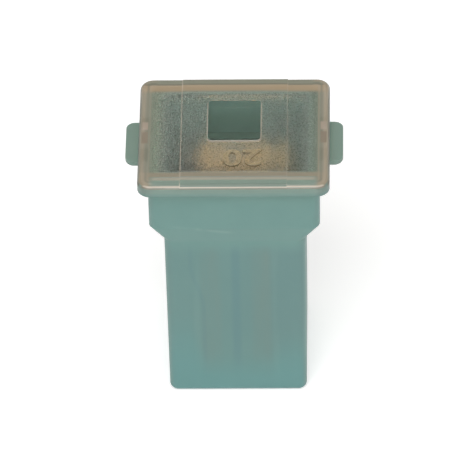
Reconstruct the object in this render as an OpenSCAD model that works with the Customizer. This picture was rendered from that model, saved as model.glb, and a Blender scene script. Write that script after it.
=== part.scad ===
// Plug-in cartridge fuse: a moulded housing, a clear cover that clips on, a folded one-piece
// fuse link with two female blade contacts, and a tin slug riveted through the link.
// The fuse stands on its foot, with z = 0 there and its front towards -y.

/* [Blade contacts] */
// Width of the mating blade
blade_w = 9.5; // [8:0.1:12]
// Thickness of the mating blade
blade_t = 0.8; // [0.5:0.1:1.2]
// Play between the blade and its contact, on each face
blade_play = 0.05; // [0.02:0.01:0.15]
// Distance between the middle planes of the two blades
blade_pitch = 11.2; // [10:0.1:16]
// Length of the rolled part of each contact
receptacle_l = 10; // [6:0.5:13]
// How far a blade's edge reaches past the middle of the rolled edge
blade_tuck = 0.1; // [0.05:0.05:0.3]

/* [Fuse link] */
// Thickness of the copper alloy sheet
sheet_t = 0.5; // [0.3:0.05:0.7]
// Width of the strip that joins the two contacts
strip_w = 5; // [3.6:0.1:6]
// Height of the strip above the floor of the mouth
strip_rise = 2.1; // [1:0.1:2.5]
// Inner radius of the bend at each end of the strip
bend_r = 0.8; // [0.4:0.1:1.2]
// Width left at each fusible neck
neck_w = 1.2; // [0.6:0.1:2]
// Radius at the root of the notches beside a neck
neck_r = 0.5; // [0.4:0.1:0.9]
// Length of full width left between each neck and its bend
neck_end = 0.35; // [0.2:0.05:0.8]
// Height of the tapered part of each contact below the strip
taper_h = 4; // [2:0.5:6]
// Width of the locking tongue cut in each contact
lance_w = 2; // [1.4:0.1:3]
// Length of the locking tongue
lance_l = 3; // [2:0.1:4]
// How far the tongue's tip springs out
lance_out = 0.4; // [0.2:0.05:0.6]
// Width of the cut around the tongue
lance_gap = 0.3; // [0.2:0.05:0.5]

/* [Tin slug] */
// Diameter of the slug's two heads
slug_d = 2.4; // [1.8:0.1:2.8]
// Thickness of each head
slug_head = 0.5; // [0.3:0.05:0.8]
// Diameter of the hole that the slug is riveted through
slug_hole = 1.3; // [0.8:0.1:1.6]

/* [Housing] */
// Wall on the two short sides of the shank
wall_side = 1.4; // [1.1:0.1:3]
// Wall at the front and back of the shank
wall_front = 2; // [1.2:0.1:3]
// Wall of the head around its mouth
wall_head = 1.2; // [0.8:0.1:1.5]
// Wall between the two contact chambers
partition_t = 1.2; // [0.8:0.1:2]
// Floor under the contacts
floor_t = 1.4; // [1:0.1:3]
// Height of the shank
shank_h = 23.2; // [21:0.1:32]
// Draft of the shank on each side, from its top to its foot
shank_draft = 0.1; // [0:0.02:0.3]
// Height of the sloped shoulder
shoulder_h = 2.1; // [1.5:0.1:4]
// How far the shoulder steps out on each short side
shoulder_x = 1.65; // [1:0.05:2.5]
// How far the shoulder steps out at the front and at the back
shoulder_y = 0.25; // [0.1:0.05:1.5]
// Thickness of the ledge where the mouth meets the shoulder
ledge_t = 0.4; // [0.2:0.1:1]
// Height of the head above the shoulder
head_h = 6.25; // [5:0.05:10]
// Radius of the upright corners
corner_r = 1.1; // [0.8:0.1:1.4]
// Radius of the rounded foot
foot_r = 0.7; // [0.2:0.1:0.7]
// Thickness of the ribs that hold each contact against its wall
rib_t = 0.6; // [0.4:0.1:1]
// How far each rib reaches over a rolled edge
rib_reach = 1.2; // [0.6:0.1:1.6]
// Room around a blade in its slot through the floor
slot_play = 0.5; // [0.2:0.1:0.6]
// Lead-in round the mouth of each slot
slot_flare = 0.5; // [0.2:0.1:0.6]

/* [Ears] */
// How far each ear sticks out past the cover
ear_out = 1.5; // [0.8:0.1:4]
// Length of an ear from front to back
ear_l = 6.8; // [5.6:0.1:10]
// Thickness of an ear
ear_t = 0.8; // [0.6:0.1:2]
// Radius of an ear's corners
ear_r = 1; // [0.6:0.1:1.4]
// Radius of an ear's lower edge
ear_edge = 0.4; // [0.1:0.05:0.5]

/* [Cover] */
// Thickness of the cover's plate
cover_t = 0.9; // [0.6:0.1:1.5]
// Thickness of the skirt round the head
skirt_t = 1.1; // [0.9:0.1:2]
// How far the skirt reaches down past the rim of the housing, to sit on the ears
skirt_drop = 0.45; // [0.3:0.05:1.5]
// Radius of the cover's upright corners
cover_r = 1.5; // [0.8:0.1:3]
// Radius of the edge round the cover's face
cover_edge = 0.5; // [0.2:0.05:0.7]
// Thickness of the rim that locates the cover in the mouth
rim_t = 0.5; // [0.4:0.1:1.2]
// Depth of that rim below the plate
rim_h = 0.6; // [0.4:0.1:2]
// Radius of the mouth's corners
mouth_r = 0.8; // [0.3:0.1:1.5]
// Width of the raised band across the middle of the face
band_w = 12; // [8:0.1:15]
// Height of the raised band
band_rise = 0.08; // [0.04:0.01:0.3]
// Width of the polished window
window_w = 6.1; // [4:0.1:8]
// Length of the window from front to back
window_l = 7.1; // [4:0.1:8]
// Distance of the window's middle behind the middle of the cover
window_y = 1.8; // [0:0.1:3]
// Radius of the window's corners
window_r = 0.6; // [0.3:0.1:1]
// Height of the window above the band
window_rise = 0.2; // [0.1:0.05:0.4]
// Radius of the edge round the window
window_edge = 0.1; // [0.05:0.05:0.1]

/* [Latches] */
// Width of each snap latch
latch_w = 3.6; // [2.4:0.1:4.2]
// Thickness of a latch's leg
latch_t = 0.65; // [0.4:0.05:0.8]
// Room behind a latch for it to spring inwards
latch_flex = 0.4; // [0.2:0.05:0.6]
// How far the hook reaches out
hook_out = 0.45; // [0.3:0.05:0.7]
// Height of the hook
hook_h = 1.1; // [0.8:0.1:2]
// Height of the hook's upright nose
hook_nose = 0.25; // [0.1:0.05:0.4]

/* [Fits] */
// Clearance round the head and above its rim, inside the cover
cover_clear = 0.05; // [0.02:0.01:0.15]
// Clearance of the contacts in their chambers
chamber_clear = 0.05; // [0.02:0.01:0.15]
// Clearance round a latch in its ear
latch_clear = 0.1; // [0.05:0.01:0.2]
// Clearance of the slug in its hole
slug_clear = 0.02; // [0.01:0.01:0.05]

/* [Hidden] */
$fn = 64;
// Sides of the round corners that the shoulder blends
blend_fn = 32;
// Thickness of the two leaves that the shoulder blends
leaf_t = 0.01;
// How far a cut runs past the face that it opens
over = 1;

// Contacts, on the +x side
blade_gap = blade_t + 2 * blade_play;
curl_r = blade_gap + sheet_t;
contact_out = (blade_pitch + blade_gap) / 2 + sheet_t;
contact_in = contact_out - 2 * curl_r;
curl_y = blade_w / 2 - blade_tuck;
contact_y = curl_y + curl_r;
contact_z = floor_t + chamber_clear;
contact_top = contact_z + receptacle_l;
lance_z = contact_top + lance_gap;

// Housing
chamber_x = contact_out + chamber_clear;
chamber_y = contact_y + chamber_clear;
rib_x = contact_in - chamber_clear;
shank_w = 2 * (chamber_x + wall_side);
shank_d = 2 * (chamber_y + wall_front);
head_w = shank_w + 2 * shoulder_x;
head_d = shank_d + 2 * shoulder_y;
head_z = shank_h + shoulder_h;
rim_z = head_z + head_h;
mouth_z = head_z + ledge_t;
mouth_w = head_w - 2 * wall_head;
mouth_d = head_d - 2 * wall_head;
slot_w = blade_t + 2 * slot_play;
slot_l = blade_w + 2 * slot_play;

// Strip of the fuse link
strip_z = mouth_z + strip_rise;
strip_end = contact_out - sheet_t - bend_r;
neck_x = strip_end - neck_end - neck_r;
bend_z = strip_z - bend_r;

// Cover
cover_w = head_w + 2 * (cover_clear + skirt_t);
cover_d = head_d + 2 * (cover_clear + skirt_t);
skirt_z = rim_z - skirt_drop;
plate_z = rim_z + cover_clear;
face_z = plate_z + cover_t;
cover_h = face_z - skirt_z;

// Ears and latches
ear_x = cover_w / 2 + ear_out;
latch_in = head_w / 2 + latch_flex;
latch_out = latch_in + latch_t;
hook_z = skirt_z - ear_t - latch_clear;

// Upright outline, w wide at its top and h high, with its two lower corners rounded by f
// and its sides drawn in by draft on the way down to them
module outline(w, h, f, draft = 0) {
    low = w / 2 - draft;
    polygon([[-low, f], [low, f], [w / 2, h], [-w / 2, h]]);
    translate([f - low, 0])
        square([2 * (low - f), h]);
    for (x = [-1, 1])
        translate([x * (low - f), f])
            circle(f);
}

// Plan outline, w by d, with all four corners rounded by r
module plan(w, d, r) {
    square([w - 2 * r, d], center = true);
    square([w, d - 2 * r], center = true);
    for (x = [-1, 1], y = [-1, 1])
        translate([x * (w / 2 - r), y * (d / 2 - r)])
            circle(r);
}

// Block with upright corners of radius r, its lower edge rounded by f, and drafted sides
module soft_block(w, d, r, h, f, draft = 0) {
    rotate([90, 0, 0])
        linear_extrude(d - 2 * r, center = true)
            outline(w, h, f, draft);
    rotate([90, 0, 90])
        linear_extrude(w - 2 * r, center = true)
            outline(d, h, f, draft);
    for (x = [-1, 1], y = [-1, 1])
        translate([x * (w / 2 - r), y * (d / 2 - r), 0])
            rotate_extrude()
                intersection() {
                    outline(2 * r, h, f, draft);
                    square([r, h]);
                }
}

// The +x half of a symmetrical pair, and its mirror image
module both_sides() {
    children();
    mirror([1, 0, 0])
        children();
}

// Opening w by d that widens downwards by flare over the same height, with its top at z = h
module flared_slot(w, d, h, flare) {
    translate([-w / 2, -d / 2, -over])
        cube([w, d, h + over]);
    intersection() {
        rotate([90, 0, 0])
            linear_extrude(d + 2 * flare, center = true)
                polygon([[-w / 2 - flare, 0], [w / 2 + flare, 0], [w / 2, flare], [-w / 2, flare]]);
        rotate([90, 0, 90])
            linear_extrude(w + 2 * flare, center = true)
                polygon([[-d / 2 - flare, 0], [d / 2 + flare, 0], [d / 2, flare], [-d / 2, flare]]);
    }
}

module housing_shell() {
    soft_block(shank_w, shank_d, corner_r, shank_h, foot_r, shank_draft);
    translate([0, 0, shank_h])
        hull() {
            linear_extrude(leaf_t)
                plan(shank_w, shank_d, corner_r, $fn = blend_fn);
            translate([0, 0, shoulder_h - leaf_t])
                linear_extrude(leaf_t)
                    plan(head_w, head_d, corner_r, $fn = blend_fn);
        }
    translate([0, 0, head_z])
        linear_extrude(head_h)
            plan(head_w, head_d, corner_r);
    translate([0, 0, skirt_z - ear_t])
        soft_block(2 * ear_x, ear_l, ear_r, ear_t, ear_edge);
}

// Everything that is cut away on the +x side
module chamber_cuts() {
    translate([partition_t / 2, -chamber_y, floor_t])
        cube([chamber_x - partition_t / 2, 2 * chamber_y, mouth_z - floor_t + over]);
    translate([blade_pitch / 2, 0, 0])
        flared_slot(slot_w, slot_l, floor_t + over, slot_flare);
    // pocket that the locking tongue springs into
    translate([chamber_x - over, -lance_w / 2 - lance_gap, lance_z])
        cube([over + lance_out, lance_w + 2 * lance_gap, lance_l + chamber_clear]);
    // slot for the latch at the root of the ear
    translate([head_w / 2, -latch_w / 2 - latch_clear, skirt_z - ear_t - over])
        cube([latch_out + latch_clear - head_w / 2, latch_w + 2 * latch_clear, ear_t + 2 * over]);
}

// Ribs that keep the rolled edges of the +x contact against the outer wall
module contact_ribs() {
    rib_end = contact_y - rib_reach;
    for (y = [-1, 1])
        translate([rib_x - rib_t, y > 0 ? rib_end : -chamber_y, floor_t])
            cube([rib_t, chamber_y - rib_end, receptacle_l]);
}

module housing() {
    color([0.42, 0.6, 0.58]) {
        difference() {
            housing_shell();
            translate([0, 0, mouth_z])
                linear_extrude(head_h + over)
                    plan(mouth_w, mouth_d, mouth_r);
            both_sides()
                chamber_cuts();
        }
        both_sides()
            contact_ribs();
    }
}

// Leg with a hook under the +x ear
module latch() {
    nose = latch_out + hook_out;
    rotate([90, 0, 0])
        linear_extrude(latch_w, center = true)
            polygon([
                [latch_in, plate_z],
                [latch_out, plate_z],
                [latch_out, hook_z],
                [nose, hook_z],
                [nose, hook_z - hook_nose],
                [latch_out, hook_z - hook_h],
                [latch_in, hook_z - hook_h]
            ]);
}

module cover_shell() {
    translate([0, 0, face_z])
        mirror([0, 0, 1])
            soft_block(cover_w, cover_d, cover_r, cover_h, cover_edge);
    translate([0, 0, face_z + band_rise])
        mirror([0, 0, 1])
            rotate([90, 0, 90])
                linear_extrude(band_w, center = true)
                    outline(cover_d, cover_h + band_rise, cover_edge);
    translate([0, window_y, face_z + band_rise + window_rise])
        mirror([0, 0, 1])
            soft_block(window_w, window_l, window_r, window_rise + cover_t / 2, window_edge);
}

module cover() {
    color([0.8, 0.78, 0.68]) {
        difference() {
            cover_shell();
            translate([0, 0, skirt_z - over])
                linear_extrude(plate_z - skirt_z + over)
                    plan(head_w + 2 * cover_clear, head_d + 2 * cover_clear, corner_r);
        }
        translate([0, 0, plate_z - rim_h])
            linear_extrude(rim_h)
                difference() {
                    plan(mouth_w - 2 * cover_clear, mouth_d - 2 * cover_clear, mouth_r);
                    square([mouth_w - 2 * (cover_clear + rim_t), mouth_d - 2 * (cover_clear + rim_t)],
                        center = true);
                }
        both_sides()
            latch();
    }
}

// The +x contact: back plate, two rolled edges, locking tongue and the bend up to the strip
module contact() {
    plate_in = contact_out - sheet_t;
    taper_z = bend_z - taper_h;
    difference() {
        translate([plate_in, 0, 0])
            rotate([90, 0, 90])
                linear_extrude(sheet_t)
                    polygon([
                        [-curl_y, contact_z], [curl_y, contact_z],
                        [curl_y, taper_z], [strip_w / 2, bend_z],
                        [-strip_w / 2, bend_z], [-curl_y, taper_z]
                    ]);
        translate([plate_in - over, -lance_w / 2 - lance_gap, lance_z])
            cube([sheet_t + 2 * over, lance_w + 2 * lance_gap, lance_l + lance_gap]);
    }
    // locking tongue
    rotate([90, 0, 0])
        linear_extrude(lance_w, center = true)
            polygon([
                [plate_in, lance_z], [contact_out, lance_z],
                [contact_out + lance_out, lance_z + lance_l], [plate_in + lance_out, lance_z + lance_l]
            ]);
    // rolled edges
    for (y = [0, 1])
        mirror([0, y, 0])
            translate([contact_out - curl_r, curl_y, contact_z])
                linear_extrude(receptacle_l)
                    difference() {
                        circle(curl_r);
                        circle(curl_r - sheet_t);
                        translate([0, -curl_r])
                            square(curl_r);
                    }
    // bend
    translate([strip_end, 0, bend_z])
        rotate([90, 0, 0])
            linear_extrude(strip_w, center = true)
                intersection() {
                    difference() {
                        circle(bend_r + sheet_t);
                        circle(bend_r);
                    }
                    square(bend_r + sheet_t);
                }
}

module fuse_link() {
    color([0.78, 0.72, 0.6]) {
        both_sides()
            contact();
        translate([0, 0, strip_z])
            linear_extrude(sheet_t)
                difference() {
                    square([2 * strip_end, strip_w], center = true);
                    circle(d = slug_hole);
                    for (x = [-1, 1], y = [0, 1])
                        mirror([0, y])
                            translate([x * neck_x, neck_w / 2 + neck_r]) {
                                circle(neck_r);
                                translate([-neck_r, 0])
                                    square([2 * neck_r, strip_w]);
                            }
                }
    }
}

module tin_slug() {
    color([0.75, 0.75, 0.74])
        translate([0, 0, strip_z - slug_head])
            rotate_extrude() {
                square([slug_d / 2, slug_head]);
                square([slug_hole / 2 - slug_clear, 2 * slug_head + sheet_t]);
                translate([0, slug_head + sheet_t])
                    square([slug_d / 2, slug_head]);
            }
}

housing();
cover();
fuse_link();
tin_slug();
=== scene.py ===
"""Plug-in cartridge fuse: looks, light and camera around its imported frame."""

import math

import bmesh
import bpy
from mathutils import Matrix, Vector


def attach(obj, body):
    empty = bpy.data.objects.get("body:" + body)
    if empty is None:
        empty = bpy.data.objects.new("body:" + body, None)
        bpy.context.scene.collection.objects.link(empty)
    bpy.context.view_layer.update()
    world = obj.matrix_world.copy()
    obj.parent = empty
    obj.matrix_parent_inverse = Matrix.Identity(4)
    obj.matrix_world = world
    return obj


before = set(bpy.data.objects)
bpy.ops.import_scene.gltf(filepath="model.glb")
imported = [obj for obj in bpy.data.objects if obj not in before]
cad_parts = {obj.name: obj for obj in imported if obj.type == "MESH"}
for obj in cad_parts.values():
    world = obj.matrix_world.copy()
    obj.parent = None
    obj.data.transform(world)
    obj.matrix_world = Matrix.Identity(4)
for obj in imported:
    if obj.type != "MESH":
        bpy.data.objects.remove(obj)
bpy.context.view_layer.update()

MM = 0.001

# Camera: the photograph's viewing angle, in degrees, and its frame, in pixels
IMAGE_PX = 470
CAMERA_AZIMUTH = 1.74
CAMERA_ELEVATION = 41.6
CAMERA_ROLL = -1.44
CAMERA_DISTANCE = 706 * MM
FOCAL_PX = 6153
AIM = Vector((0, 0, 16 * MM))
AIM_PX = (236.9, 241.4)
SENSOR = 36

# Studio: the light all round, the back light's tint, and the floor, with its sizes in metres
WORLD_LIGHT = 0.3
OVERHEAD_DIM = 0.75
WARM_LIGHT = (1.0, 0.9, 0.76)
FLOOR_GLOW = 0.45
FLOOR_HALF = 4.0
FLOOR_DROP = 0.01 * MM

# Places on the cover that its finish follows, in millimetres
COVER_HALF_X = 10.8
COVER_HALF_Y = 9.5
COVER_CORNER = 1.5
NEAR_EDGE = -COVER_HALF_Y
FACE_Z = 32.5
FACE_EDGE = 0.5
BAND_TOP = 32.58
BAND_HALF = 6.0
WINDOW_HALF_X = 3.05
WINDOW_HALF_Y = 3.55
WINDOW_Y = 1.8
WINDOW_CORNER = 0.6
FIELD_HALF_X = 9.4
FIELD_FRONT = -6.75
FIELD_BACK = 7.1
FRAME_FRONT = -7.65
FRAME_BACK = 8.4
STRIP_HIGHLIGHT_Y = FRAME_FRONT - 0.32
BACK_LINE_Y = FRAME_BACK - 0.05
RIM_INNER_X = 9.6
RIM_OUTER_X = 10.3
BEAD_HIGHLIGHT_IN = 0.45
GROOVE_IN = 0.95
INNER_BEAD_HIGHLIGHT_IN = 1.25
LATCH_X = 10.1
LATCH_DARK_Y = -0.85
LATCH_PALE_Y = 1.15
# Heights of the painted highlight along the near edge and of its warm painted tail
PAINTED_GLINT_Z = FACE_Z - 0.085
PAINTED_GLINT_TAIL_Z = FACE_Z - 0.2

# Places on the housing: what shows through its shank, the painted highlight on its shoulder's crease,
# its foot, and its mouth, which has painted light and shade
SHANK_FACE = 7.9
SHANK_TOP = 23.2
HEAD_FOOT = 25.3
CONTACT_X = 2.9
RIB_X = 3.7
RIB_SLANT = 1.4
RIB_SLANT_FROM = 13.0
RIB_SLANT_TO = 19.5
SHINE_X = RIB_X + 0.8
CREASE_Z = HEAD_FOOT + 0.4
CREASE_FALL = 1.1
FOOT_REACH = 6.5
FOOT_REACH_LEFT = 7.5
FOOT_REACH_RIGHT = 3.5
MOUTH_X = 8.5
MOUTH_Y = 7.2
MOUTH_FLOOR = 25.75
MOUTH_DEPTH = 5
LIP_RISE = 2
CHAMBER_INSET = 1.5

# Places on the fuse link
NECK_X = 4.4
STRIP_Z = 26

# Raised digits on the cover: their middle, height, width and relief, in millimetres
DIGITS = "20"
DIGITS_MIDDLE = (0.95, -4.6)
DIGITS_HEIGHT = 2.85
DIGITS_WIDTH = 4.4
DIGITS_RISE = 0.17
DIGITS_SUNK = 0.03

# The same digits as they are drawn, in the font's own units
FONT_EXTRUDE = 0.06
FONT_BEVEL = 0.025
FONT_MERGE = 1e-5

# Optics of the two plastics
TEAL_IOR = 1.49
CLEAR_IOR = 1.5
MILK_ROUGHNESS = 0.35

# Colours of the teal moulding, as linear red, green, blue and alpha, some of them painted light and
# shade
TEAL_DEEP = (0.144, 0.284, 0.26, 1)
TEAL_PALE = (0.174, 0.322, 0.292, 1)
TEAL_HOLLOW = (0.136, 0.254, 0.246, 1)
TEAL_OVER_METAL = (0.173, 0.266, 0.236, 1)
TEAL_OVER_WALL = (0.122, 0.25, 0.256, 1)
# Painted highlight on the shank's lines, the shoulder's slope and its crease
TEAL_HIGHLIGHT = (0.25, 0.39, 0.36, 1)
TEAL_FOOT = (0.138, 0.316, 0.304, 1)
# Painted light at the mouth's lip, and painted shade deeper in it and on its floor
TEAL_LIP_LIGHT = (0.2, 0.38, 0.42, 1)
TEAL_MOUTH_SHADE = (0.12, 0.22, 0.225, 1)
TEAL_LEDGE_SHADE = (0.088, 0.165, 0.15, 1)
TEAL_EAR = (0.213, 0.275, 0.222, 1)

# Colours of the clear moulding: as glass, in its shadow, and where it is milky, with painted
# highlights and shade among them
GLASS = (0.95, 0.93, 0.87, 1)
GLASS_GRIT = (0.32, 0.33, 0.265, 1)
GLASS_RIM = (0.42, 0.39, 0.3, 1)
GLASS_SHADOW = (0.76, 0.73, 0.66, 1)
FIELD_MILK = (0.41, 0.46, 0.41, 1)
# Painted shade in the field over the housing's wall, deeper on the right
FIELD_SHADE_LEFT = (0.24, 0.27, 0.205, 1)
FIELD_SHADE_RIGHT = (0.175, 0.21, 0.17, 1)
RIM_INNER = (0.22, 0.245, 0.19, 1)
RIM_LEFT = (0.25, 0.23, 0.173, 1)
RIM_RIGHT = (0.28, 0.252, 0.19, 1)
RIM_FRONT = (0.335, 0.272, 0.195, 1)
RIM_BACK = (0.385, 0.292, 0.186, 1)
RIM_BACK_EDGE = (0.27, 0.265, 0.2, 1)
RIM_BACK_LINE = (0.16, 0.132, 0.09, 1)
# Painted highlight lines along the frame's sides
RIM_BEAD_HIGHLIGHT = (0.37, 0.31, 0.225, 1)
RIM_GROOVE = (0.2, 0.19, 0.14, 1)
LATCH_DARK = (0.22, 0.175, 0.125, 1)
LATCH_PALE = (0.4, 0.33, 0.26, 1)
SKIRT_LOW = (0.165, 0.3, 0.275, 1)
SKIRT_HIGH = (0.215, 0.32, 0.276, 1)
SKIRT_SIDE = (0.17, 0.16, 0.12, 1)
STRIP_PALE = (0.345, 0.43, 0.375, 1)
STRIP_DARK = (0.15, 0.215, 0.175, 1)
# Painted highlight line where the strip meets the frame
STRIP_HIGHLIGHT = (0.54, 0.47, 0.385, 1)
# Painted highlight along the cover's near upper edge, and its warm painted tail
PAINTED_GLINT = (0.55, 0.48, 0.39, 1)
PAINTED_GLINT_TAIL = (0.285, 0.25, 0.196, 1)
# Painted highlight lines along the window's and the band's edges
PAINTED_EDGE_HIGHLIGHTS = (0.64, 0.56, 0.46, 1)
# Painted shade on the digits' flanks
DIGIT_FLANK_SHADE = (0.16, 0.125, 0.08, 1)
DIGIT_MILK = (0.56, 0.45, 0.28, 1)

# Colours of the metals and the floor
COPPER_DULL = (0.8, 0.555, 0.26, 1)
COPPER_WARM = (0.93, 0.67, 0.35, 1)
# Painted sheen on the right side of the strip
COPPER_SHEEN = (0.99, 0.75, 0.4, 1)
# Dark metal beyond the strip's left neck
COPPER_DARK = (0.13, 0.13, 0.11, 1)
TIN_DARK = (0.5, 0.45, 0.37, 1)
TIN_PALE = (0.66, 0.6, 0.5, 1)
PAPER_DARK = (0.8, 0.8, 0.8, 1)
PAPER_PALE = (0.82, 0.82, 0.82, 1)


class Value:
    """A node's socket, on which arithmetic adds Math nodes."""

    def __init__(self, finish, socket):
        self.finish = finish
        self.socket = socket

    def math(self, operation, *terms):
        inputs = dict(enumerate(terms))
        return self.finish.node("Math", {"operation": operation}, inputs)

    def __add__(self, other):
        return self.math("ADD", self, other)

    __radd__ = __add__

    def __sub__(self, other):
        return self.math("SUBTRACT", self, other)

    def __rsub__(self, other):
        return self.math("SUBTRACT", other, self)

    def __mul__(self, other):
        return self.math("MULTIPLY", self, other)

    __rmul__ = __mul__

    def __abs__(self):
        return self.math("ABSOLUTE", self)

    def root(self):
        return self.math("SQRT", self)

    def max(self, other):
        return self.math("MAXIMUM", self, other)


class Finish:
    """A node tree that a material or the world is built in, one node at a time."""

    def __init__(self, owner):
        owner.use_nodes = True
        self.owner = owner
        self.tree = owner.node_tree
        self.tree.nodes.clear()

    def node(self, kind, settings=None, inputs=None, output=0):
        """A new node's output, after its settings are made and its sockets set or linked."""
        made = self.tree.nodes.new("ShaderNode" + kind)
        for key, value in (settings or {}).items():
            setattr(made, key, value)
        for key, value in (inputs or {}).items():
            if isinstance(value, Value):
                self.tree.links.new(value.socket, made.inputs[key])
            else:
                made.inputs[key].default_value = value
        return Value(self, made.outputs[output]) if made.outputs else None

    def blend(self, factor, first, second):
        """Colour between two others."""
        return self.node("Mix", {"data_type": "RGBA"}, {0: factor, 6: first, 7: second}, 2)

    def place(self):
        """Object coordinates, in millimetres."""
        metres = self.node("TexCoord", output="Object")
        return self.node("VectorMath", {"operation": "SCALE"}, {0: metres, "Scale": 1 / MM})

    def axes(self, vector):
        """A vector's x, y and z."""
        return [self.node("SeparateXYZ", None, {0: vector}, axis) for axis in "XYZ"]

    def stretch(self, vector, scale):
        return self.node("VectorMath", {"operation": "MULTIPLY"}, {0: vector, 1: scale})

    def noise(self, vector, scale, detail):
        inputs = {"Vector": vector, "Scale": scale, "Detail": detail}
        return self.node("TexNoise", None, inputs, "Fac")

    def ramp(self, value, low, high):
        """0 at low, 1 at high, smooth between them."""
        inputs = {"Value": value, "From Min": low, "From Max": high}
        return self.node("MapRange", {"interpolation_type": "SMOOTHSTEP"}, inputs, "Result")

    def line(self, value, centre, half, soft):
        """1 within half of centre, falling to 0 over soft."""
        return 1 - self.ramp(abs(value - centre), half, half + soft)

    def past_outline(self, x, y, half_x, half_y, corner):
        """Distance past a rectangle with round corners, negative inside it."""
        past_x = (abs(x) - (half_x - corner)).max(0)
        past_y = (abs(y) - (half_y - corner)).max(0)
        return (past_x * past_x + past_y * past_y).root() - corner

    def bump(self, height, distance, strength):
        inputs = {"Height": height, "Distance": distance, "Strength": strength}
        return self.node("Bump", None, inputs, "Normal")

    def surface(self, shader):
        self.node("OutputMaterial", None, {"Surface": shader})
        return self.owner

    def clear_surface(self, haze, glass, milk):
        """Glass and milky plastic mixed by haze, with a pale shadow that light comes through."""
        body = self.node("MixShader", None, {0: haze, 1: glass, 2: milk})
        through = self.node("BsdfTransparent", None, {"Color": GLASS_SHADOW})
        shadow_ray = self.node("LightPath", output="Is Shadow Ray")
        return self.surface(self.node("MixShader", None, {0: shadow_ray, 1: body, 2: through}))


def new_finish(name):
    return Finish(bpy.data.materials.new(name))


def show_inside(finish, colour, place, x, y, z):
    """The shank's faces, where the hollows, contacts and walls inside show faintly, with painted
    shade towards the right and painted highlights on lines, the shoulder's slope and its crease.
    """
    on_face = finish.ramp(abs(y), SHANK_FACE - 0.4, SHANK_FACE)
    on_shank = 1 - finish.ramp(z, SHANK_TOP - 2.5, SHANK_TOP)
    hollow = on_shank * (0.4 + 0.6 * finish.ramp(z, 2.0, 12.0))
    # The hollows' tint, made stronger towards the right as painted shade
    hollow_and_right_shade = 0.45 + 0.25 * finish.ramp(x, -3.0, 5.0)
    colour = finish.blend(hollow_and_right_shade * hollow * on_face, colour, TEAL_HOLLOW)

    streak = finish.noise(finish.stretch(place, (0.5, 0.5, 0.06)), 1.0, 2.0)
    inside = finish.ramp(z, 0.5, 8.0) * on_shank * on_face
    contacts = finish.line(abs(x), CONTACT_X, 0.5, 1.0)
    contacts = contacts * (0.2 + 0.5 * finish.ramp(streak, 0.3, 0.7))
    contact_edge = finish.line(x, RIB_X, 0.1, 0.35)
    colour = finish.blend(inside * (contacts + 0.15 * contact_edge), colour, TEAL_OVER_METAL)
    slant = RIB_SLANT * finish.ramp(z, RIB_SLANT_FROM, RIB_SLANT_TO)
    rib = finish.line(x + slant, -RIB_X, 0.08, 0.3)
    partition = finish.line(x, 0.0, 0.15, 0.65)
    colour = finish.blend(inside * (0.3 * rib + 0.6 * partition), colour, TEAL_OVER_WALL)

    # Painted highlights: vertical shine lines, the shoulder's slope and a broken line along its
    # crease
    shine = finish.line(abs(x), SHINE_X, 0.1, 0.5) * on_face * on_shank
    shine = shine * finish.ramp(streak, 0.35, 0.65)
    slope = finish.line(z, (SHANK_TOP + HEAD_FOOT) / 2, 0.7, 0.7)
    fall = CREASE_FALL * finish.ramp(x, -8.5, 1.5)
    crease = finish.line(z + fall, CREASE_Z, 0.05, 0.25)
    crease = crease * finish.ramp(x, -8.0, -4.5) * (1 - finish.ramp(x, -0.8, 0.8))
    crease = crease * finish.ramp(streak, 0.25, 0.6)
    light = 0.18 * shine + (0.15 * slope + 0.35 * crease) * on_face
    colour = finish.blend(light, colour, TEAL_HIGHLIGHT)

    reach = FOOT_REACH + FOOT_REACH_LEFT * (1 - finish.ramp(x, -5.5, -3.5))
    reach = reach + FOOT_REACH_RIGHT * finish.ramp(x, 3.5, 5.5)
    foot = (1 - finish.ramp(z, 0.2 * reach, reach)) * on_face
    return finish.blend(0.8 * foot, colour, TEAL_FOOT)


def shade_mouth(finish, colour, x, y, z):
    """The mouth under the cover, with painted light at its lip and painted shade deeper down and on
    its floor, less of it on the left, and in the chambers below.
    """
    in_chamber = 1 - finish.ramp(z, MOUTH_FLOOR - 0.2, MOUTH_FLOOR - 0.1)
    within_x = 1 - finish.ramp(abs(x) + CHAMBER_INSET * in_chamber, MOUTH_X, MOUTH_X + 0.1)
    within_y = 1 - finish.ramp(abs(y), MOUTH_Y, MOUTH_Y + 0.1)
    in_mouth = within_x * within_y
    lip_light = in_mouth * finish.ramp(z, MOUTH_FLOOR + LIP_RISE, MOUTH_FLOOR + MOUTH_DEPTH)
    depth_shade = in_mouth * (1 - finish.ramp(z, MOUTH_FLOOR, MOUTH_FLOOR + MOUTH_DEPTH))
    ledge_shade = in_mouth * (1 - finish.ramp(z, MOUTH_FLOOR, MOUTH_FLOOR + 0.02))
    ledge_shade = ledge_shade * (1 - 0.7 * (1 - finish.ramp(x, -7.0, -6.0)))
    colour = finish.blend(0.7 * lip_light, colour, TEAL_LIP_LIGHT)
    colour = finish.blend(0.5 * depth_shade, colour, TEAL_MOUTH_SHADE)
    return finish.blend(ledge_shade, colour, TEAL_LEDGE_SHADE)


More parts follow.
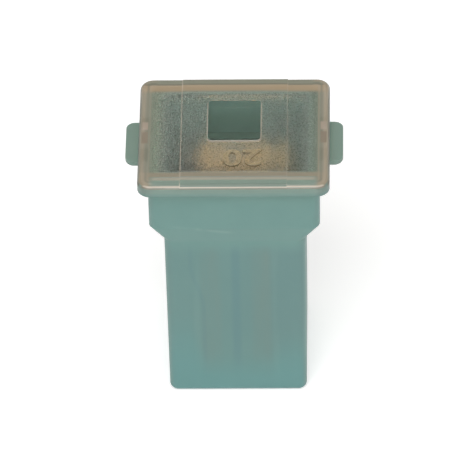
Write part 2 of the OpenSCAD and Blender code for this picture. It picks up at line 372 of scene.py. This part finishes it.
def teal_plastic():
    """Translucent teal moulding, faintly clouded."""
    finish = new_finish("teal_plastic")
    place = finish.place()
    x, y, z = finish.axes(place)
    cloud = finish.noise(place, 0.22, 3.0)
    grain = finish.noise(place, 9.0, 2.0)
    colour = finish.blend(cloud, TEAL_DEEP, TEAL_PALE)
    colour = show_inside(finish, colour, place, x, y, z)
    colour = shade_mouth(finish, colour, x, y, z)
    ears = finish.ramp(abs(x), COVER_HALF_X - 0.2, COVER_HALF_X + 0.2)
    colour = finish.blend(0.7 * ears, colour, TEAL_EAR)
    shader = finish.node("BsdfPrincipled", None, {
        "Base Color": colour,
        "Roughness": 0.36 + 0.16 * grain,
        "IOR": TEAL_IOR,
        "Subsurface Weight": 0.2,
        "Subsurface Radius": (0.6 * MM, 1.0 * MM, 0.9 * MM),
        "Subsurface Scale": 1.0,
        "Normal": finish.bump(grain, 0.02 * MM, 0.5),
    })
    return finish.surface(shader)


class CoverZones:
    """Masks of the cover's zones, 1 inside and 0 outside, and the distance past its outline."""

    def __init__(self, finish, x, y, z):
        self.right = finish.ramp(x, -1.0, 1.0)
        top = finish.ramp(z, FACE_Z - 0.5 * FACE_EDGE, FACE_Z - 0.1 * FACE_EDGE)

        # The grained field, with the window in it
        to_window = finish.past_outline(
            x, y - WINDOW_Y, WINDOW_HALF_X, WINDOW_HALF_Y, WINDOW_CORNER)
        off_window = finish.ramp(to_window, -0.05, 0.05)
        across = 1 - finish.ramp(abs(x), FIELD_HALF_X - 0.6, FIELD_HALF_X + 0.3)
        self.behind_front = finish.ramp(y, FIELD_FRONT - 0.35, FIELD_FRONT + 0.15)
        before_back = 1 - finish.ramp(y, FIELD_BACK - 0.5, FIELD_BACK + 0.3)
        inside = across * self.behind_front * before_back
        self.field = top * inside * off_window
        # Where the field lies over the housing's wall, which is given painted shade there
        over_wall = abs(x) - 0.4 * self.right
        self.field_edge = finish.ramp(over_wall, MOUTH_X - 1.6, MOUTH_X + 0.3)

        # The frame round the field, and the strip in front of it
        in_front = across * (1 - finish.ramp(y, FRAME_FRONT - 0.1, FRAME_FRONT + 0.1))
        self.rim = top * (1 - inside) * (1 - in_front)
        self.strip = top * in_front
        # A painted highlight line where the strip meets the frame
        self.strip_highlight = top * across * finish.line(y, STRIP_HIGHLIGHT_Y, 0.1, 0.3)
        self.strip_end = finish.ramp(y, NEAR_EDGE + 0.9, NEAR_EDGE + 0.5)

        # Painted highlights along the edges of the window and the raised band, fainter on the band's
        # right edge
        window_edge = finish.line(to_window, 0.0, 0.04, 0.08) * top
        band_edge = top * finish.line(abs(x), BAND_HALF, 0.03, 0.06) * (0.5 + 0.5 * inside)
        band_edge = band_edge * (1 - self.right * (0.7 - 0.47 * inside))
        self.painted_edge_highlights = window_edge.max(band_edge)

        # The skirt round the head, with a painted highlight along its near upper edge and a warm
        # painted tail just below it
        self.to_side = finish.past_outline(x, y, COVER_HALF_X, COVER_HALF_Y, COVER_CORNER)
        self.skirt = (1 - top) * finish.ramp(self.to_side, -FACE_EDGE, -0.5 * FACE_EDGE)
        near = 1 - finish.ramp(y, NEAR_EDGE + 0.4, NEAR_EDGE + 0.6)
        self.painted_glint = finish.line(z, PAINTED_GLINT_Z, 0.03, 0.045) * near
        self.painted_glint_tail = finish.line(z, PAINTED_GLINT_TAIL_Z, 0.05, 0.08) * near


def field_colour(finish, zones):
    """The field, with painted shade over the housing's wall, deeper on the right."""
    wall_shade = finish.blend(zones.right, FIELD_SHADE_LEFT, FIELD_SHADE_RIGHT)
    return finish.blend(zones.field_edge, FIELD_MILK, wall_shade)


def rim_colour(finish, x, y, zones):
    """The frame, tan at front and back, with fine lines at its sides, the pale ones painted
    highlights brighter on the right, and the latches' roots.
    """
    outer = finish.blend(zones.right, RIM_LEFT, RIM_RIGHT)
    colour = finish.blend(finish.ramp(abs(x), RIM_INNER_X, RIM_OUTER_X), RIM_INNER, outer)
    back = finish.ramp(y, FIELD_BACK - 0.4, FIELD_BACK + 0.4)
    back = back * (1 - finish.ramp(y, FRAME_BACK - 0.3, FRAME_BACK))
    colour = finish.blend(back, colour, RIM_BACK)
    colour = finish.blend(0.7 * (1 - zones.behind_front), colour, RIM_FRONT)
    back_edge = finish.ramp(y, FRAME_BACK - 0.1, FRAME_BACK + 0.1)
    colour = finish.blend(0.7 * back_edge, colour, RIM_BACK_EDGE)
    back_line = finish.line(y, BACK_LINE_Y, 0.06, 0.14)
    colour = finish.blend(0.55 * back_line, colour, RIM_BACK_LINE)

    at_side = finish.ramp(abs(x), FIELD_HALF_X - 0.8, FIELD_HALF_X - 0.2)
    # Painted highlight lines, brighter on the right
    bead_highlight = finish.line(zones.to_side, -BEAD_HIGHLIGHT_IN, 0.12, 0.22)
    bead_highlight = bead_highlight.max(finish.line(zones.to_side, -INNER_BEAD_HIGHLIGHT_IN, 0.03, 0.12))
    bead_highlight = bead_highlight * (0.4 + 0.3 * zones.right)
    colour = finish.blend(at_side * bead_highlight, colour, RIM_BEAD_HIGHLIGHT)
    groove = finish.line(zones.to_side, -GROOVE_IN, 0.05, 0.15)
    colour = finish.blend(0.7 * at_side * groove, colour, RIM_GROOVE)

    latch = finish.line(abs(x), LATCH_X, 0.25, 0.2)
    latch_dark = latch * finish.line(y, LATCH_DARK_Y, 0.8, 0.35)
    latch_pale = latch * finish.line(y, LATCH_PALE_Y, 0.5, 0.35)
    colour = finish.blend(latch_dark, colour, LATCH_DARK)
    return finish.blend(latch_pale, colour, LATCH_PALE)


def skirt_colour(finish, x, z, zones):
    """The skirt, teal from the head behind it, with a warm painted highlight tail along its upper
    edge.
    """
    colour = finish.blend(finish.ramp(z, FACE_Z - 1.2, FACE_Z - 0.7), SKIRT_LOW, SKIRT_HIGH)
    colour = finish.blend(zones.painted_glint_tail, colour, PAINTED_GLINT_TAIL)
    side_edge = finish.ramp(abs(x), COVER_HALF_X - 0.35, COVER_HALF_X - 0.15)
    side_edge = side_edge * finish.ramp(z, FACE_Z - 0.55, FACE_Z - 0.35)
    return finish.blend(side_edge, colour, SKIRT_SIDE)


def strip_colour(finish, zones):
    """The strip in front of the frame, with a soft painted highlight line where the two meet."""
    colour = finish.blend(zones.strip_end, STRIP_PALE, STRIP_DARK)
    return finish.blend(zones.strip_highlight, colour, STRIP_HIGHLIGHT)


def cover_haze(finish, x, y, zones, speckle):
    """How milky the cover is, from 0 in the window."""
    far = finish.ramp(y, FIELD_FRONT, 0.0)
    at_back = finish.ramp(y, FIELD_BACK - 1.5, FIELD_BACK)
    field = 0.02 + (0.21 + 0.09 * far) * speckle + 0.14 * at_back
    field = field * (1 - 0.3 * finish.ramp(x, 1.0, 8.0))
    field = field + (0.35 + 0.3 * speckle) * zones.field_edge
    strip = 0.5 + 0.1 * zones.strip_highlight + 0.4 * zones.strip_end
    skirt = 0.72 + 0.1 * zones.painted_glint
    haze = 0.92 * zones.rim + skirt * zones.skirt + strip * zones.strip + field * zones.field
    return haze.max(0.5 * zones.painted_edge_highlights)


def clear_plastic():
    """Clear, slightly amber moulding: a grained field, a polished window and a hazier frame, with
    painted highlights along edges and painted shade over the housing's wall.
    """
    finish = new_finish("clear_plastic")
    place = finish.place()
    x, y, z = finish.axes(place)
    zones = CoverZones(finish, x, y, z)
    grain = finish.noise(place, 6.5, 0.0)
    normal = finish.bump(grain * zones.field, 0.06 * MM, 0.8)
    grit = finish.noise(finish.stretch(place, (1.0, 0.8, 1.0)), 5.5, 1.0)
    grit = finish.ramp(grit, 0.46, 0.62) * zones.field
    clear = finish.blend(grit, GLASS, GLASS_GRIT)
    polish = 0.04 + 0.3 * zones.field + 0.1 * zones.rim
    glass = finish.node("BsdfPrincipled", None, {
        "Base Color": finish.blend(zones.rim, clear, GLASS_RIM),
        "Roughness": polish + 0.2 * zones.skirt * (1 - zones.painted_glint),
        "IOR": CLEAR_IOR,
        "Transmission Weight": 1.0,
        "Normal": normal,
    })
    colour = finish.blend(zones.rim, field_colour(finish, zones), rim_colour(finish, x, y, zones))
    colour = finish.blend(zones.skirt, colour, skirt_colour(finish, x, z, zones))
    colour = finish.blend(zones.strip, colour, strip_colour(finish, zones))
    # Painted highlight along the near edge
    colour = finish.blend(zones.painted_glint, colour, PAINTED_GLINT)
    milk = finish.node("BsdfPrincipled", None, {
        "Base Color": finish.blend(zones.painted_edge_highlights, colour, PAINTED_EDGE_HIGHLIGHTS),
        "Roughness": MILK_ROUGHNESS,
        "IOR": CLEAR_IOR,
        "Normal": normal,
    })
    speckle = finish.ramp(grain, 0.35, 0.65)
    return finish.clear_surface(cover_haze(finish, x, y, zones, speckle), glass, milk)


def digit_plastic():
    """The same clear plastic, polished, on the raised digits, with painted shade on their flanks."""
    finish = new_finish("digit_plastic")
    wear = finish.noise(finish.place(), 2.0, 2.0)
    facing_up = finish.axes(finish.node("NewGeometry", output="Normal"))[2]
    shaded_flank = 1 - finish.ramp(facing_up, 0.4, 0.9)
    glass = finish.node("BsdfPrincipled", None, {
        "Base Color": finish.blend(shaded_flank, GLASS, DIGIT_FLANK_SHADE),
        "Roughness": 0.06 + 0.1 * wear,
        "IOR": CLEAR_IOR,
        "Transmission Weight": 1.0,
    })
    milk = finish.node("BsdfPrincipled", None, {
        "Base Color": DIGIT_MILK,
        "Roughness": MILK_ROUGHNESS,
        "IOR": CLEAR_IOR,
    })
    return finish.clear_surface((0.12 + 0.26 * wear) * (1 - shaded_flank), glass, milk)


def tinned_copper():
    """Warm, thinly tinned sheet with faint rolling lines, a painted sheen towards the right of its
    strip, and dark beyond its left neck.
    """
    finish = new_finish("tinned_copper")
    place = finish.place()
    x, _, z = finish.axes(place)
    rolled = finish.noise(finish.stretch(place, (0.4, 6.0, 0.4)), 1.5, 3.0)
    dull = finish.noise(place, 0.8, 3.0)
    colour = finish.blend(dull, COPPER_DULL, COPPER_WARM)
    on_strip = finish.ramp(z, STRIP_Z, STRIP_Z + 0.5)
    # Painted sheen, brighter towards the right of the strip
    colour = finish.blend(on_strip * finish.ramp(x, 1.5, 4.5), colour, COPPER_SHEEN)
    dark_left = on_strip * (1 - finish.ramp(x, -NECK_X - 0.4, -NECK_X + 0.2))
    shader = finish.node("BsdfPrincipled", None, {
        "Base Color": finish.blend(0.9 * dark_left, colour, COPPER_DARK),
        "Metallic": 1.0,
        "Roughness": 0.4 + 0.2 * rolled,
        "Normal": finish.bump(rolled, 0.01 * MM, 0.4),
    })
    return finish.surface(shader)


def dull_tin():
    """Soft tin, with the frosted skin that it sets with."""
    finish = new_finish("dull_tin")
    skin = finish.noise(finish.place(), 3.0, 4.0)
    shader = finish.node("BsdfPrincipled", None, {
        "Base Color": finish.blend(skin, TIN_DARK, TIN_PALE),
        "Metallic": 1.0,
        "Roughness": 0.38 + 0.2 * skin,
        "Normal": finish.bump(skin, 0.03 * MM, 0.6),
    })
    return finish.surface(shader)


def shown_rays(finish):
    """1 for rays that show the background: straight from the camera, in gloss, or through glass."""
    camera = finish.node("LightPath", output="Is Camera Ray")
    glossy = finish.node("LightPath", output="Is Glossy Ray")
    through = finish.node("LightPath", output="Is Transmission Ray")
    return camera.max(glossy).max(through)


def studio_floor():
    """White paper under the fuse, which keeps its shadow."""
    finish = new_finish("studio_floor")
    speck = finish.noise(finish.place(), 0.4, 3.0)
    paper = finish.node("BsdfDiffuse", None, {"Color": finish.blend(speck, PAPER_DARK, PAPER_PALE)})
    glow = finish.node("Emission", None, {"Strength": FLOOR_GLOW * shown_rays(finish)})
    material = finish.surface(finish.node("AddShader", None, {0: paper, 1: glow}))
    mesh = bmesh.new()
    bmesh.ops.create_grid(mesh, x_segments=1, y_segments=1, size=FLOOR_HALF)
    data = bpy.data.meshes.new("studio_floor")
    mesh.to_mesh(data)
    mesh.free()
    floor = bpy.data.objects.new("studio_floor", data)
    floor.location.z = -FLOOR_DROP
    floor.data.materials.append(material)
    bpy.context.collection.objects.link(floor)


def studio_world():
    """Soft light all round, pale at the level of the horizon and dimmer overhead."""
    world = bpy.data.worlds.new("studio")
    bpy.context.scene.world = world
    finish = Finish(world)
    height = finish.axes(finish.node("TexCoord", output="Generated"))[2]
    shown = 1 - OVERHEAD_DIM * finish.ramp(height, 0.3, 0.6)
    strength = WORLD_LIGHT + (shown - WORLD_LIGHT) * shown_rays(finish)
    back = finish.node("Background", None, {"Color": (1, 1, 1, 1), "Strength": strength})
    finish.node("OutputWorld", None, {"Surface": back})


def direction(azimuth, elevation):
    """Unit vector from the aim, by degrees round from the front and up from the floor."""
    around = math.radians(azimuth)
    rise = math.radians(elevation)
    level = math.cos(rise)
    return Vector((math.sin(around) * level, -math.cos(around) * level, math.sin(rise)))


def softbox(name, azimuth, elevation, distance, size, power, colour=(1, 1, 1)):
    """Square area light that faces the aim, with its distance and size in metres."""
    light = bpy.data.lights.new(name, "AREA")
    light.shape = "SQUARE"
    light.size = size
    light.energy = power
    light.color = colour
    back = direction(azimuth, elevation)
    lamp = bpy.data.objects.new(name, light)
    lamp.location = AIM + back * distance
    lamp.rotation_euler = back.to_track_quat("Z", "Y").to_euler()
    bpy.context.collection.objects.link(lamp)


def photo_camera():
    """Camera that sees the fuse as the photograph does."""
    data = bpy.data.cameras.new("camera")
    data.sensor_width = SENSOR
    data.lens = SENSOR * FOCAL_PX / IMAGE_PX
    data.clip_start = 0.01
    data.clip_end = 50
    back = direction(CAMERA_AZIMUTH, CAMERA_ELEVATION)
    right = Vector((0, 0, 1)).cross(back).normalized()
    up = back.cross(right)
    roll = math.radians(CAMERA_ROLL)
    rolled_right = math.cos(roll) * right + math.sin(roll) * up
    rolled_up = math.cos(roll) * up - math.sin(roll) * right
    turn = Matrix((rolled_right, rolled_up, back)).transposed()
    pixel = CAMERA_DISTANCE / FOCAL_PX
    off_right = (IMAGE_PX / 2 - AIM_PX[0]) * pixel
    off_up = (AIM_PX[1] - IMAGE_PX / 2) * pixel
    camera = bpy.data.objects.new("camera", data)
    spot = AIM + back * CAMERA_DISTANCE + rolled_right * off_right + rolled_up * off_up
    camera.matrix_world = Matrix.Translation(spot) @ turn.to_4x4()
    bpy.context.collection.objects.link(camera)
    bpy.context.scene.camera = camera


def rating_digits(material):
    """Plain raised digits on the cover, read from its far side."""
    words = bpy.data.curves.new("rating_digits", "FONT")
    words.body = DIGITS
    words.extrude = FONT_EXTRUDE
    words.bevel_depth = FONT_BEVEL
    words.bevel_resolution = 2
    writing = bpy.data.objects.new("rating_writing", words)
    bpy.context.collection.objects.link(writing)
    bpy.context.view_layer.update()
    depsgraph = bpy.context.evaluated_depsgraph_get()
    data = bpy.data.meshes.new_from_object(writing.evaluated_get(depsgraph))
    bpy.data.objects.remove(writing)
    mesh = bmesh.new()
    mesh.from_mesh(data)
    bmesh.ops.remove_doubles(mesh, verts=mesh.verts, dist=FONT_MERGE)
    low = Vector([min(v.co[k] for v in mesh.verts) for k in range(3)])
    high = Vector([max(v.co[k] for v in mesh.verts) for k in range(3)])
    thickness = DIGITS_RISE + DIGITS_SUNK
    size = Vector((DIGITS_WIDTH, DIGITS_HEIGHT, thickness)) * MM
    middle = Vector((*DIGITS_MIDDLE, BAND_TOP + DIGITS_RISE - thickness / 2)) * MM
    bmesh.ops.translate(mesh, verts=mesh.verts, vec=-(low + high) / 2)
    bmesh.ops.scale(mesh, verts=mesh.verts, vec=[size[k] / (high[k] - low[k]) for k in range(3)])
    half_turn = Matrix.Rotation(math.pi, 3, "Z")
    bmesh.ops.rotate(mesh, verts=mesh.verts, cent=(0, 0, 0), matrix=half_turn)
    bmesh.ops.translate(mesh, verts=mesh.verts, vec=middle)
    bmesh.ops.recalc_face_normals(mesh, faces=mesh.faces)
    mesh.to_mesh(data)
    mesh.free()
    data.materials.clear()
    data.materials.append(material)
    digits = bpy.data.objects.new("rating_digits", data)
    bpy.context.collection.objects.link(digits)
    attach(digits, "root")


def dress(node, material):
    """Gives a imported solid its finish."""
    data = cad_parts[node].data
    data.materials.clear()
    data.materials.append(material)


bpy.context.scene.view_settings.view_transform = "Standard"
photo_camera()
studio_world()
studio_floor()
softbox("key_light", azimuth=-16, elevation=54, distance=0.6, size=0.4, power=2.3)
softbox("fill_light", azimuth=50, elevation=38, distance=0.7, size=0.5, power=1.0)
softbox("back_light", azimuth=180, elevation=64, distance=0.6, size=0.2, power=0.3, colour=WARM_LIGHT)

dress("housing", teal_plastic())
dress("cover", clear_plastic())
rating_digits(digit_plastic())
dress("fuse_link", tinned_copper())
dress("tin_slug", dull_tin())
